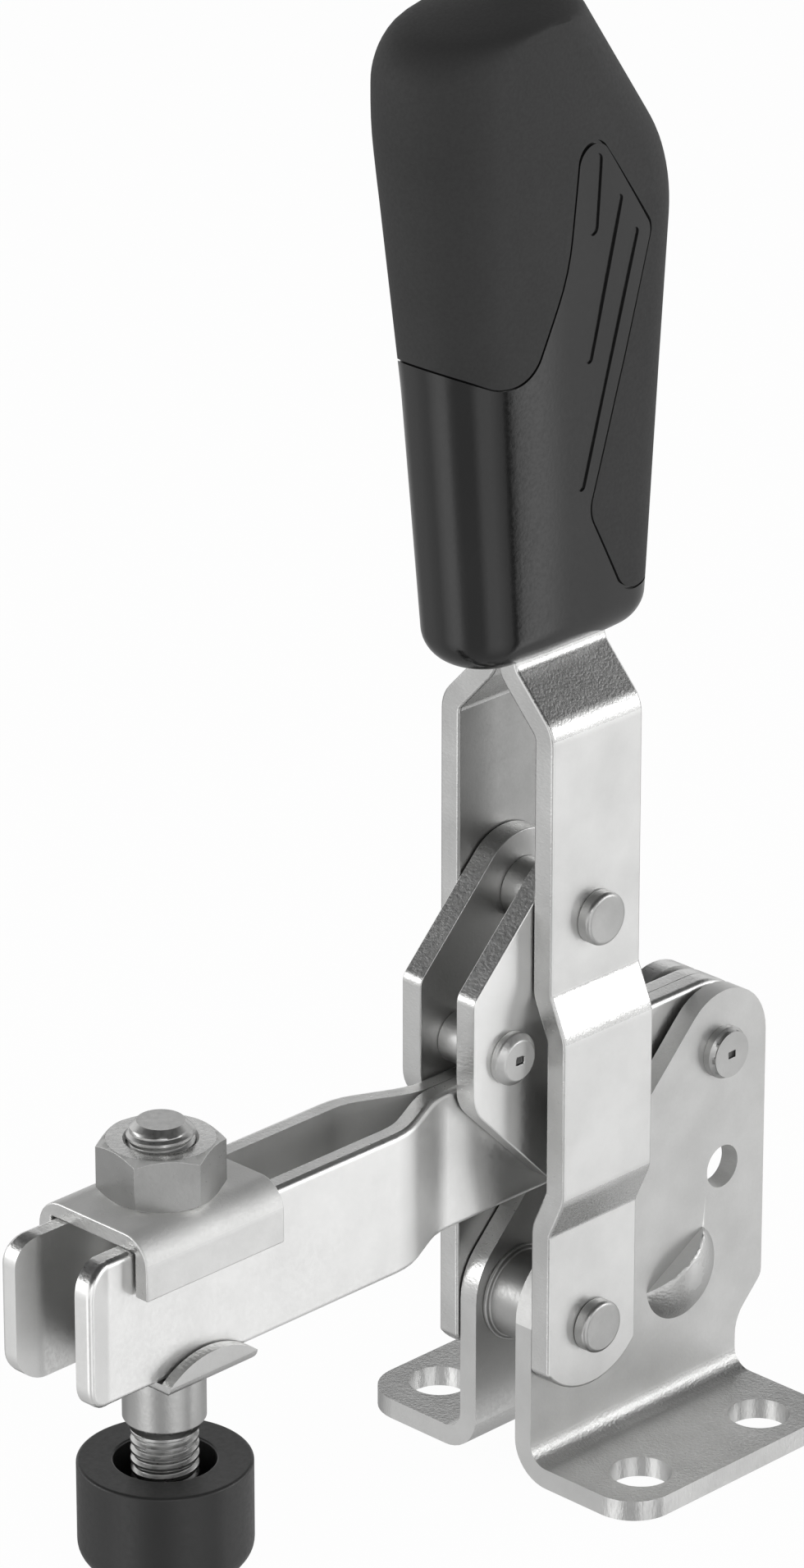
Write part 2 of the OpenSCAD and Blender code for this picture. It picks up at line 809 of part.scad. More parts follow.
// Washer under the arm, with two arched tabs folded up beside it
module saddle_washer() {
    out = clip_in + saddle_t;
    peak = arm_bottom + saddle_tab;
    color(zinc) difference() {
        intersection() {
            lengthwise(spindle_x - saddle_len, spindle_x + saddle_len) difference() {
                polygon(rounded([
                    [-out, sleeve_top, saddle_edge_r],
                    [out, sleeve_top, saddle_edge_r],
                    [out, peak, 0],
                    [-out, peak, 0]
                ]));
                translate([-clip_in, arm_bottom]) square([2 * clip_in, saddle_tab + eps]);
            }
            upright(-out - eps, out + eps) intersection() {
                translate([spindle_x, peak - saddle_tab_r]) circle(saddle_tab_r);
                polygon(rounded([
                    [spindle_x - saddle_len / 2, sleeve_top, saddle_end_r],
                    [spindle_x + saddle_len / 2, sleeve_top, saddle_end_r],
                    [spindle_x + saddle_len / 2, peak, 0],
                    [spindle_x - saddle_len / 2, peak, 0]
                ]));
            }
        }
        translate([spindle_x, 0, sleeve_top - eps])
            cylinder(d = spindle_d + 2 * slot_play, h = saddle_t + 2 * eps);
    }
}

module spindle_sleeve() {
    r = sleeve_d / 2;
    color(zinc) translate([spindle_x, 0, sleeve_top - sleeve_len]) difference() {
        rotate_extrude() polygon([
            [0, 0], [r - sleeve_bevel, 0], [r, sleeve_cone], [r, sleeve_len], [0, sleeve_len]
        ]);
        translate([0, 0, -eps]) cylinder(d = spindle_d + 2 * seat_play, h = sleeve_len + 2 * eps);
    }
}

// Rubber cap drawn over the spindle's head, open at the top
module rubber_cap() {
    r = cap_d / 2;
    hollow = spindle_head_d / 2 + seat_play;
    roof = cap_floor + spindle_head_h + seat_play;
    color(rubber_black) translate([spindle_x, 0, spindle_foot - cap_floor]) difference() {
        rotate_extrude() polygon(rounded([
            [0, 0, 0],
            [cap_foot_d / 2, 0, cap_side_r / 3],
            [r, cap_taper, cap_side_r],
            [r, cap_h, cap_edge_r],
            [0, cap_h, 0]
        ]));
        rotate_extrude() polygon([
            [0, cap_floor], [hollow, cap_floor], [hollow, roof], [cap_mouth_d / 2, roof],
            [cap_mouth_d / 2, cap_h + eps], [0, cap_h + eps]
        ]);
    }
}

base_plate_left();
base_plate_right();
handle_pivot_rivet();
handle_pivot_bush();
arm_pivot_rivet();
arm_pivot_bush();
arm_plate_left();
arm_plate_right();
link_plate_left();
link_plate_right();
knee_rivet();
knee_bush();
stop_rivet();
link_top_bush();
link_top_pin();
strap_rivet_left();
strap_rivet_right();
handle_strap_left();
handle_strap_right();
grip_body();
grip_cover();
spindle();
lock_nut();
clamp_clip();
saddle_washer();
spindle_sleeve();
rubber_cap();
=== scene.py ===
# %% [markdown]
# # A vertical toggle clamp in zinc-plated sheet steel
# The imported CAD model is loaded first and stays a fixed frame. Every piece made below rides on
# one of its bodies (base, handle, arm or link), so the scene poses like the real clamp.

# %% Load the frame
import json
import math

import bmesh
import bpy
from mathutils import Matrix, Vector


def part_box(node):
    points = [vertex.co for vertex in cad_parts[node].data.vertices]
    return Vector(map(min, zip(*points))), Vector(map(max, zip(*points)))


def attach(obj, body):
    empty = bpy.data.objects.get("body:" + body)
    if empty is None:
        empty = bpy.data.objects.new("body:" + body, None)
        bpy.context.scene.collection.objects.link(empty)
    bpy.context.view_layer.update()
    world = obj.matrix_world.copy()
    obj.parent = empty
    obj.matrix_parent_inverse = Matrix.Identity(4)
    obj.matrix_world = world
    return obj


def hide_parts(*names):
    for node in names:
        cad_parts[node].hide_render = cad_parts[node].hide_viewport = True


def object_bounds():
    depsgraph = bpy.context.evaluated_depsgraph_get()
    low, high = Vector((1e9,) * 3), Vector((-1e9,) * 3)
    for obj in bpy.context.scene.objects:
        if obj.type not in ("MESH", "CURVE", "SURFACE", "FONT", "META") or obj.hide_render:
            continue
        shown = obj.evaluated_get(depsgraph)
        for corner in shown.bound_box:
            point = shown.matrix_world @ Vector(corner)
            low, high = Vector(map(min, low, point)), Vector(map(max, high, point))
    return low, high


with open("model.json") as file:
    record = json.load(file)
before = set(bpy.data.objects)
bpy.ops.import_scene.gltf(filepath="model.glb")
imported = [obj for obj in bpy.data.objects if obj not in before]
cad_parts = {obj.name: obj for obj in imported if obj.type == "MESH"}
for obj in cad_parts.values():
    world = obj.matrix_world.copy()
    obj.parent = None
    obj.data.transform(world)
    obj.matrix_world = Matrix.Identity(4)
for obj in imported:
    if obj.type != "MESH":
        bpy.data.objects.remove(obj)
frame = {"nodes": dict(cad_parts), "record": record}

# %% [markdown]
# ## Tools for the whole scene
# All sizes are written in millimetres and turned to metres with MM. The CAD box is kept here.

MM = 0.001
cad_box = [list(corner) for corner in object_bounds()]
body_of_node = {
    node: body
    for body, nodes in frame["record"]["behaviour"]["bodies"].items()
    for node in nodes
}
print("CAD box in mm:", [[round(c / MM, 1) for c in corner] for corner in cad_box])

# %% [markdown]
# Colours are read off like paint codes, as sRGB hex values. Blender shades in linear light,
# so one function turns a code into linear values.

# %% Colour and node helpers
def colour(code):
    """Linear RGBA from an sRGB hex code."""
    parts = [int(code[i:i + 2], 16) / 255 for i in (0, 2, 4)]
    linear = [p / 12.92 if p <= 0.04045 else ((p + 0.055) / 1.055) ** 2.4 for p in parts]
    return (*linear, 1.0)


def add(tree, kind, inputs=None, **settings):
    """Adds one node; an input is given a value, or a socket to link it to."""
    made = tree.nodes.new(kind)
    for key, value in settings.items():
        setattr(made, key, value)
    for key, value in (inputs or {}).items():
        if isinstance(value, bpy.types.NodeSocket):
            tree.links.new(value, made.inputs[key])
        else:
            made.inputs[key].default_value = value
    return made


def new_material(name):
    """An empty material with its output node."""
    made = bpy.data.materials.new(name)
    made.use_nodes = True
    made.node_tree.nodes.clear()
    return made, made.node_tree, add(made.node_tree, "ShaderNodeOutputMaterial")


def ramp(tree, factor, *stops):
    """A colour ramp over a factor, through stops of position and colour."""
    made = add(tree, "ShaderNodeValToRGB", {"Fac": factor})
    points = made.color_ramp.elements
    while len(points) < len(stops):
        points.new(0.5)
    for point, (position, shade) in zip(points, stops):
        point.position, point.color = position, shade
    return made.outputs["Color"]


# %% [markdown]
# ## Zinc-plated sheet
# The plates are cold-rolled steel, pressed and then electroplated with zinc. The plating is a
# satin metal with a fine frosted grain. Under one even light the grain disappears, and where
# a face reflects both the white floor and the dark ceiling it shows as speckle. So the grain is
# in the bump, not in the colour. Faint clouds a few millimetres wide come from the plating
# bath. One recipe makes all the zinc finishes. They differ in how rough the steel under the
# plating is, and in a base colour that is painted darker as shade or lighter as light on some
# parts. A sheared edge has scratches across the sheet, so there the grain is
# stretched along one axis.

# %% Zinc recipe
cloud_mm, gloss_spread = 7, 0.05


def zinc_finish(name, dark, light, rough, grain_mm, bump_mm, stretch=(1, 1, 1)):
    """Plated steel: faint clouds, and a frosted grain in the bump and the gloss."""
    made, tree, out = new_material(name)
    where = add(tree, "ShaderNodeTexCoord").outputs["Object"]
    cloud = add(tree, "ShaderNodeTexNoise",
                {"Vector": where, "Scale": 1 / (cloud_mm * MM), "Detail": 4.0})
    drawn = add(tree, "ShaderNodeMapping", {"Vector": where, "Scale": stretch})
    grain = add(tree, "ShaderNodeTexNoise",
                {"Vector": drawn.outputs["Vector"], "Scale": 1 / (grain_mm * MM), "Detail": 2.0,
                 "Roughness": 0.6})
    tone = ramp(tree, cloud.outputs["Fac"], (0.3, colour(dark)), (0.7, colour(light)))
    gloss = add(tree, "ShaderNodeMapRange",
                {"Value": grain.outputs["Fac"], "From Min": 0.3, "From Max": 0.7,
                 "To Min": rough - gloss_spread, "To Max": rough + gloss_spread})
    bump = add(tree, "ShaderNodeBump",
               {"Height": grain.outputs["Fac"], "Distance": bump_mm * MM, "Strength": 1.0})
    shader = add(tree, "ShaderNodeBsdfPrincipled",
                 {"Base Color": tone, "Metallic": 1.0, "Roughness": gloss.outputs["Result"],
                  "Normal": bump.outputs["Normal"]})
    tree.links.new(shader.outputs["BSDF"], out.inputs["Surface"])
    return made


# %% [markdown]
# The flat faces are the smoothest. Where the sheet is bent, the stretched steel turns rough
# like orange peel, and the bent faces are painted darker, as painted shade. The sheared edges
# are rough too, with a tone of their own, so the eye reads every plate as a thick blank. The
# inner faces, in the shade between the plates, are painted much darker as painted shade. The
# base plates are painted darker as painted shade too, and their folds and the top of the foot
# darker still. The outer faces of the arm plates and links are painted lighter, as painted
# light. The roughest finish is for the cut face of the stop and for the folds of the clip.

# %% Sheet finishes
zinc_face = zinc_finish("zinc_rolled_face", "dededd", "e9e9e8", 0.40, 0.40, 0.008)
arm_painted_light = zinc_finish("zinc_arm_painted_light", "efefee", "f7f7f6", 0.38, 0.40, 0.006)
inner_painted_shade = zinc_finish("zinc_inner_painted_shade", "a6a6a5", "b3b3b2", 0.42, 0.40, 0.010)
bend_painted_shade = zinc_finish("zinc_bent_painted_shade", "c6c6c5", "d8d8d7", 0.27, 0.32, 0.036)
zinc_edge = zinc_finish("zinc_sheared_edge", "c8c8c7", "dadad9", 0.32, 0.32, 0.036, (1, 0.6, 1))
base_painted_shade = zinc_finish("zinc_base_painted_shade", "c9c9c8", "d5d5d4", 0.42, 0.40, 0.012)
base_bend_painted_shade = zinc_finish("zinc_base_bend_painted_shade", "bebebd", "cececd", 0.42, 0.40, 0.070)
foot_edge = zinc_finish("zinc_foot_edge", "c4c4c3", "d8d8d7", 0.32, 0.40, 0.050, (1, 1, 0.35))
rough_face = zinc_finish("zinc_cut_face", "ececeb", "f6f6f5", 0.70, 0.40, 0.040)
print("sheet finishes:", zinc_face.name, inner_painted_shade.name, bend_painted_shade.name, zinc_edge.name)

# %% [markdown]
# ## Rivets, bushes, nut and screw
# Rivets and bushes are turned or cold-headed from bar and come out darker than the sheet. The
# nut is hot-pressed, darker again and glossier. Its top and its chamfers are turned, and they
# are painted lighter, as painted light on the faces that look up. The punched centre mark in
# the rivet heads is a recess, painted dark as painted shade. The rolled thread has polished flanks.

# %% Bar and fastener finishes
rivet_face = zinc_finish("rivet_turned_steel", "b0b0af", "c0c0bf", 0.36, 0.40, 0.020)
mark_painted_shade = zinc_finish("rivet_mark_painted_shade", "5c5c5b", "6e6e6d", 0.50, 0.40, 0.020)
nut_face = zinc_finish("nut_pressed_steel", "a4a4a3", "b2b2b1", 0.32, 0.50, 0.012)
nut_chamfer_painted_light = zinc_finish("nut_turned_chamfer_painted_light", "e6e6e5", "f0f0ef", 0.80, 0.50, 0.020)
nut_top_painted_light = zinc_finish("nut_turned_top_painted_light", "c8c8c7", "d6d6d5", 0.26, 0.50, 0.012)
thread_face = zinc_finish("thread_rolled_steel", "bebebd", "cacac9", 0.32, 0.60, 0.001)
print("fastener finishes:", rivet_face.name, nut_face.name, nut_top_painted_light.name, thread_face.name)

# %% [markdown]
# ## Plastics and rubber
# The grip has two parts. Its hard core is black glass-filled nylon, moulded in an eroded tool:
# a fine leather-like grain and a satin gloss that draws soft upright highlights. The cover is
# a thermoplastic elastomer: dark grey, smooth and quite matt. The cap on the spindle is plain
# black moulded rubber.

# %% Moulded finishes
mottle_mm = 14


def moulded_finish(name, dark, light, rough, grain_mm, bump_mm):
    """A moulded plastic or rubber: an even tone, an eroded-tool grain and slight mottling."""
    made, tree, out = new_material(name)
    where = add(tree, "ShaderNodeTexCoord").outputs["Object"]
    cloud = add(tree, "ShaderNodeTexNoise",
                {"Vector": where, "Scale": 1 / (mottle_mm * MM), "Detail": 2.0})
    grain = add(tree, "ShaderNodeTexNoise",
                {"Vector": where, "Scale": 1 / (grain_mm * MM), "Detail": 3.0, "Roughness": 0.55})
    tone = ramp(tree, cloud.outputs["Fac"], (0.3, colour(dark)), (0.7, colour(light)))
    gloss = add(tree, "ShaderNodeMapRange",
                {"Value": grain.outputs["Fac"], "From Min": 0.3, "From Max": 0.7,
                 "To Min": rough - gloss_spread, "To Max": rough + gloss_spread})
    bump = add(tree, "ShaderNodeBump",
               {"Height": grain.outputs["Fac"], "Distance": bump_mm * MM, "Strength": 1.0})
    shader = add(tree, "ShaderNodeBsdfPrincipled",
                 {"Base Color": tone, "Roughness": gloss.outputs["Result"], "IOR": 1.5,
                  "Normal": bump.outputs["Normal"]})
    tree.links.new(shader.outputs["BSDF"], out.inputs["Surface"])
    return made


hard_nylon = moulded_finish("nylon_grained_black", "161616", "1c1c1c", 0.15, 0.45, 0.008)
soft_cover = moulded_finish("elastomer_matt_grey", "282828", "2d2d2d", 0.70, 0.45, 0.004)
cap_rubber = moulded_finish("rubber_moulded_black", "202020", "262626", 0.42, 0.60, 0.008)
print("moulded finishes:", hard_nylon.name, soft_cover.name, cap_rubber.name)


# %% [markdown]
# ## From CAD solid to pressed part
# The CAD plates have the right shape but razor edges. A real blank is tumbled before plating,
# so each edge has a radius of a few tenths of a millimetre that catches the light. A CAD mesh
# arrives as loose triangles, so a copy is merged and its flat areas are joined into single
# faces first. A Bevel modifier then rounds every edge that is sharper than 30 degrees, and a
# Weighted Normal modifier keeps the large flat faces flat in the shading. The radii are in
# millimetres, one for each kind of part.

# %% Copy a CAD node and round its edges
edge_mm = {"strap": 0.40, "base": 0.35, "arm": 0.25, "link": 0.35, "thin": 0.30, "nut": 0.30,
           "turned": 0.20, "cap": 0.25}


def merged_copy(node):
    """A bmesh of one CAD node with shared corners and undivided flat faces."""
    bm = bmesh.new()
    bm.from_mesh(frame["nodes"][node].data)
    bmesh.ops.remove_doubles(bm, verts=bm.verts, dist=0.002 * MM)
    bmesh.ops.dissolve_limit(bm, angle_limit=math.radians(0.6), verts=bm.verts, edges=bm.edges)
    bm.normal_update()
    return bm


def show(name, bm, finishes, slot, *nodes, smooth_below=35):
    """Turns a bmesh into a piece that rides with its node and stands for it."""
    mesh = bpy.data.meshes.new(name)
    bm.to_mesh(mesh)
    bm.free()
    for finish in finishes:
        mesh.materials.append(finish)
    mesh.shade_smooth()
    mesh.set_sharp_from_angle(angle=math.radians(smooth_below))
    piece = bpy.data.objects.new(name, mesh)
    bpy.context.scene.collection.objects.link(piece)
    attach(piece, body_of_node[nodes[0]])
    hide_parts(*nodes)
    return piece


def round_edges(piece, kind, segments=3):
    """Finishes a piece with rounded edges."""
    bevel = piece.modifiers.new("rounded_edges", "BEVEL")
    bevel.width = edge_mm[kind] * MM
    bevel.segments = segments
    bevel.limit_method = "ANGLE"
    bevel.angle_limit = math.radians(30)
    bevel.miter_outer = "MITER_ARC"
    even = piece.modifiers.new("flat_faces_stay_flat", "WEIGHTED_NORMAL")
    even.keep_sharp = True
    return piece


# %% [markdown]
# A plate needs to know which of its faces are rolled, bent or sheared. Each plate was folded
# from a flat strip, so the way a face points tells them apart: the fold runs along one axis,
# and faces that look along that axis are sheared edges. The punch also draws the outer face
# down at the rim, so the outline of the outer face is rounded more than the inner one.

# %% Mark bent and sheared faces, and round the punched rim
def mark_faces(bm, is_edge, is_bend, is_inner=lambda f: False):
    """Material 0 on rolled faces, 1 on bends, 2 on sheared edges and 3 on inner faces."""
    for face in bm.faces:
        face.material_index = (2 if is_edge(face) else 1 if is_bend(face)
                               else 3 if is_inner(face) else 0)


def punched_rim(bm, side, radius_mm):
    """Rounds the edges between the outer face of a plate and its sheared outline."""
    out = 1 if side == "left" else -1
    rim = [
        edge for edge in bm.edges
        if len(edge.link_faces) == 2
        and max(f.normal.y * out for f in edge.link_faces) > 0.6
        and min(abs(f.normal.y) for f in edge.link_faces) < 0.2
    ]
    bmesh.ops.bevel(bm, geom=rim, offset=radius_mm * MM, segments=4, affect="EDGES",
                    profile=0.5, material=-1)
    bm.normal_update()
    return len(rim)


print("plates to dress:", sum("plate" in n or "strap" in n for n in frame["nodes"]))

# %% [markdown]
# ## Handle straps
# Two straps carry the grip. Each steps out round the rivet heads and bends in at the top, in
# folds that run front to back. So the faces that look forward and back are sheared, and the
# slanted ones are bends. Round the lower end the sheared edge looks down as well.

# %% Straps
round_end_mm = 10

for side, out in (("left", 1), ("right", -1)):
    bm = merged_copy(f"handle_strap_{side}")
    end_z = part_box(f"handle_strap_{side}")[0].z + round_end_mm * MM
    mark_faces(bm,
               lambda f: abs(f.normal.x) > 0.5
               or (abs(f.normal.y) < 0.3 and f.calc_center_median().z < end_z),
               lambda f: abs(f.normal.z) > 0.12,
               lambda f: f.normal.y * out < -0.6)
    # Inner faces get the darkest zinc and the bends a darker zinc: both painted shade.
    strap = show(f"strap_{side}", bm, (zinc_face, bend_painted_shade, zinc_edge, inner_painted_shade),
                 "zinc_sheet", f"handle_strap_{side}")
    round_edges(strap, "strap")
print("straps:", len(strap.data.polygons), "faces each")

# %% [markdown]
# ## Base plates
# Each base plate is a wall and a foot, folded along the length of the clamp, with a domed
# stop pressed out of the wall. The outline of the wall and the foot is sheared. Heights tell
# the outline of the foot, the fold and the stop apart.

# %% Base plates
foot_top, fold_top, stop_low, stop_rise = 3.5 * MM, 7 * MM, 10 * MM, 0.3 * MM

for side in ("left", "right"):
    bm = merged_copy(f"base_plate_{side}")
    mark_faces(bm,
               lambda f: abs(f.normal.y) < 0.35 and f.calc_center_median().z > fold_top
               or abs(f.normal.z) < 0.35 and f.calc_center_median().z < foot_top,
               lambda f: 0.2 < abs(f.normal.y) < 0.98 or f.normal.z > 0.5)
    wall = max((f for f in bm.faces if abs(f.normal.y) > 0.99), key=lambda f: f.calc_area())
    wall_y = max(abs(v.co.y) for v in wall.verts)
    for face in bm.faces:
        middle = face.calc_center_median()
        if face.material_index == 2 and middle.z < foot_top:
            face.material_index = 3
        proud = abs(middle.y) > wall_y + stop_rise
        if middle.z > stop_low and abs(face.normal.y) < 0.35 and proud:
            face.material_index = 4
    # The plate is painted darker than the straps, and its folds and the foot top darker still:
    # painted shade.
    plate = show(f"base_{side}", bm, (base_painted_shade, base_bend_painted_shade, zinc_edge, foot_edge, rough_face),
                 "zinc_sheet", f"base_plate_{side}")
    round_edges(plate, "base")
print("base plates:", len(plate.data.polygons), "faces each")

# %% [markdown]
# ## Arm plates and links
# The arm plates lie flat together at the pivot and spread into a fork in front of the links,
# in folds that stand upright. The links are flat blanks.

# %% Arm plates and link plates
rim_mm = 0.8

for side, out in (("left", 1), ("right", -1)):
    bm = merged_copy(f"arm_plate_{side}")
    mark_faces(bm, lambda f: abs(f.normal.y) < 0.35 and f.normal.x < 0.8, lambda f: False,
               lambda f: f.normal.y * out < -0.3)
    rim = punched_rim(bm, side, rim_mm)
    # The outer faces of the arm get a lighter zinc: painted light.
    arm = show(f"arm_{side}", bm, (arm_painted_light, arm_painted_light, zinc_edge, zinc_face), "zinc_sheet",
               f"arm_plate_{side}")
    round_edges(arm, "arm", segments=2)
    bm = merged_copy(f"link_plate_{side}")
    mark_faces(bm, lambda f: abs(f.normal.y) < 0.5, lambda f: False,
               lambda f: f.normal.y * out < -0.5)
    # The outer faces of the link get the lighter arm zinc, painted light, and the inner faces the
    # darker base zinc, painted shade.
    link = show(f"link_{side}", bm, (arm_painted_light, bend_painted_shade, zinc_edge, base_painted_shade), "zinc_sheet",
                f"link_plate_{side}")
    round_edges(link, "link")
print("arm plates:", len(arm.data.polygons), "faces, rim of", rim, "edges")

# %% [markdown]
# ## Clip and saddle
# The clip is a channel folded over the top of the arm, and the saddle is a washer with two
# arched tabs. Both are thin sheet, so their edges are rounded less.

# %% Clip and saddle
for node in ("clamp_clip", "saddle_washer"):
    bm = merged_copy(node)
    mark_faces(bm, lambda f: abs(f.normal.x) > 0.5,
               lambda f: abs(f.normal.z) > 0.2)
    # The saddle takes the darker base zinc and its darker bend zinc: painted shade.
    face, bend = (zinc_face, rough_face) if node == "clamp_clip" else (base_painted_shade, base_bend_painted_shade)
    thin = show(node.split("_")[0] + "_piece", bm, (face, bend, zinc_edge), "zinc_sheet", node)
    round_edges(thin, "thin")
print("clip and saddle done")

# %% [markdown]
# ## Rivets, bushes and nut
# These are finished from their CAD solids too. The heads already have their bevels and the
# square centre mark, so a light rounding is enough. The heads of the arm pivot are staked
# harder, so the corners of their flat faces, 2.2 to 2.8 mm from the axis, are moved outwards
# nearly to the rim.

# %% Rivets, bushes and nut
flat_r, staked_r, mark_r = (2.2 * MM, 2.8 * MM), 2.95 * MM, 1.0 * MM
top_skin, mark_floor = 0.1 * MM, 1.5 * MM
# The pivot bush between the walls takes the darkest zinc, and the stop rivet the darker base zinc:
# both painted shade.
small = {
    "handle_pivot_rivet": rivet_face, "arm_pivot_rivet": rivet_face, "knee_rivet": rivet_face,
    "stop_rivet": base_painted_shade, "strap_rivet_left": rivet_face, "strap_rivet_right": rivet_face,
    "link_top_pin": rivet_face, "link_top_bush": rivet_face, "handle_pivot_bush": inner_painted_shade,
    "arm_pivot_bush": rivet_face, "knee_bush": rivet_face, "lock_nut": nut_face,
    "spindle_sleeve": rivet_face,
}
for node, finish in small.items():
    bm = merged_copy(node)
    low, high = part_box(node)
    axis = (low + high) / 2
    if node == "arm_pivot_rivet":
        for vert in bm.verts:
            spoke = Vector((vert.co.x - axis.x, 0, vert.co.z - axis.z))
            if flat_r[0] < spoke.length < flat_r[1] and abs(vert.co.y) > high.y - top_skin:
                vert.co += spoke.normalized() * (staked_r - spoke.length)
    # The nut's chamfers and top get lighter finishes: painted light on faces that look up.
    if node == "lock_nut":
        for face in bm.faces:
            lean = abs(face.normal.z)
            face.material_index = 0 if lean < 0.2 else 2 if lean < 0.95 else 3
    # The faces of the punched centre mark, a recess, get a dark finish: painted shade.
    if node in ("arm_pivot_rivet", "stop_rivet"):
        for face in bm.faces:
            middle = face.calc_center_median()
            near = math.hypot(middle.x - axis.x, middle.z - axis.z) < mark_r
            if near and high.y - mark_floor < abs(middle.y) < high.y - top_skin / 2:
                face.material_index = 1
    slot = "screw_steel" if node in ("lock_nut", "spindle_sleeve") else "rivet_steel"
    finishes = (finish, mark_painted_shade, nut_chamfer_painted_light, nut_top_painted_light)
    piece = show(node + "_piece", bm, finishes, slot, node)
    round_edges(piece, "nut" if node == "lock_nut" else "turned")
print("small turned parts:", len(small))

# %% [markdown]
# ## Spindle
# The spindle is an M8 screw with a rolled thread of 1.25 mm pitch. A thread is the path of one
# tooth profile that turns and climbs together, which is what a spin with an offset does. The
# profile is spun past both ends, the ends are cut flat and filled, and the last turns are
# drawn in to the cone that starts the nut. The round head below, which the rubber cap hides,
# is spun and set on.

# %% Spindle
screw_low, screw_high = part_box("spindle")
screw_axis = (screw_low + screw_high) / 2
thread_r, thread_pitch, per_turn = 4.0, 1.25, 48
head_r, head_h = 6.5, 5.5
cone_h = 1.2
bottom, top = screw_low.z / MM, screw_high.z / MM
cone_z = top - cone_h
bm = bmesh.new()
tooth = [(3.60, 0.0), (3.60, 0.13), (3.92, 0.40), (3.98, 0.47), (3.98, 0.78), (3.92, 0.85),
         (3.60, 1.12), (3.60, thread_pitch)]
start = bottom + head_h - 2 * thread_pitch
points = [bm.verts.new((r * MM, 0, (start + z) * MM)) for r, z in tooth]
wire = [bm.edges.new(pair) for pair in zip(points, points[1:])]
turns = math.ceil((top - start) / thread_pitch) + 1
bmesh.ops.spin(bm, geom=points + wire, cent=(0, 0, 0), axis=(0, 0, 1),
               dvec=(0, 0, thread_pitch * MM / per_turn), angle=math.tau * turns,
               steps=per_turn * turns, use_merge=False)
bmesh.ops.remove_doubles(bm, verts=bm.verts, dist=0.005 * MM)
for height, way in ((bottom + head_h - 0.3, -1), (top, 1)):
    bmesh.ops.bisect_plane(bm, geom=bm.verts[:] + bm.edges[:] + bm.faces[:], dist=1e-7,
                           plane_co=(0, 0, height * MM), plane_no=(0, 0, way), clear_outer=True)
bmesh.ops.holes_fill(bm, edges=[e for e in bm.edges if e.is_boundary], sides=0)
for vert in bm.verts:
    limit = (thread_r - max(0.0, vert.co.z / MM - cone_z)) * MM
    radius = math.hypot(vert.co.x, vert.co.y)
    if radius > limit:
        vert.co.xy *= limit / radius
print("thread:", turns, "turns,", len(bm.faces), "faces")

# %% Hidden head
head = [(0, bottom), (head_r - 0.3, bottom), (head_r, bottom + 0.3), (head_r, bottom + head_h),
        (0, bottom + head_h)]
points = [bm.verts.new((r * MM, 0, z * MM)) for r, z in head]
wire = [bm.edges.new(pair) for pair in zip(points, points[1:])]
bmesh.ops.spin(bm, geom=points + wire, cent=(0, 0, 0), axis=(0, 0, 1), angle=math.tau,
               steps=64, use_merge=True)
bmesh.ops.remove_doubles(bm, verts=bm.verts, dist=0.001 * MM)
bmesh.ops.recalc_face_normals(bm, faces=bm.faces)
bmesh.ops.translate(bm, verts=bm.verts, vec=(screw_axis.x, screw_axis.y, 0))
screw = show("spindle_screw", bm, (thread_face,), "screw_steel", "spindle", smooth_below=25)
print("spindle:", len(screw.data.polygons), "faces")

# %% [markdown]
# ## Rubber cap
# The cap is one moulding: the CAD solid with softer edges.

# %% Cap
cap = show("cap_moulding", merged_copy("rubber_cap"), (cap_rubber,), "cap_rubber", "rubber_cap")
round_edges(cap, "cap")
print("cap:", len(cap.data.polygons), "faces")

# %% [markdown]
# ## Grip
# The grip is a flat moulded handle. Its side view is an outline with rounded corners, and at
# every height its section is close to a slot shape: two round noses and two sides. The CAD
# solid follows it in a few dozen rings with flat sides. On the real grip the sides are crowned:
# they still widen for about 10 mm behind each nose, which draws out the upright highlights, and
# the rear top corner is fuller. So the grip is made again from its measurements, as a fine grid
# wrapped round the section. The corners are in millimetres from the straps' middle and in
# shares of the grip's height, with a radius each.

# %% Side view of the grip
strap_x, grip_z, grip_h = 11.0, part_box("grip_body")[0].z / MM, 80.0
cover_t, seam, seam_depth, edge_r = 1.8, 0.26, 0.3, 4.0
grip_corners = [(-13.9, 0, 0), (16.9, 0, 0), (20.3, 0.428, 60), (24.6, 0.828, 40),
                (24.5, 0.952, 6.5), (0.4, 1.02, 6), (-17.3, 0.706, 20), (-16.0, 0.428, 60)]


def rounded(corners, step=3):
    """Outline through corners of x, y and radius, with an arc in each corner."""
    spots = [Vector(c[:2]) for c in corners]
    outline = []
    for i, (spot, corner) in enumerate(zip(spots, corners)):
        u = (spots[i - 1] - spot).normalized()
        v = (spots[(i + 1) % len(spots)] - spot).normalized()
        half, radius = u.angle(v) / 2, corner[2]
        if radius == 0:
            outline.append(spot)
            continue
        centre = spot + (u + v).normalized() * radius / math.sin(half)
        first = spot + u * radius / math.tan(half) - centre
        sweep = math.copysign(math.pi - 2 * half, v.cross(u))
        steps = max(2, math.ceil(abs(math.degrees(sweep)) / step))
        outline += [centre + Matrix.Rotation(sweep * k / steps, 2) @ first
                    for k in range(steps + 1)]
    return outline


side_view = rounded([(x, share * grip_h, r) for x, share, r in grip_corners])
peak = max(side_view, key=lambda p: p.y)
front_line = sorted((p.y, p.x) for p in side_view if p.x > peak.x)
rear_line = sorted((p.y, p.x) for p in side_view if p.x <= peak.x)
half_line = [(0, 7.25), (0.4 * grip_h, 7.95), (0.75 * grip_h, 9.0), (1.1 * grip_h, 9.0)]
print("side view of the grip:", len(side_view), "points")

# %% [markdown]
# The grid is as wide as one turn round the section and as high as the grip. Each of its points
# is moved to its place on the section at its height, and the two sides of the grid meet. The
# rows crowd towards both ends, where the form turns in. The crown is a share of the half width,
# and it fades where the grip is too short for it.

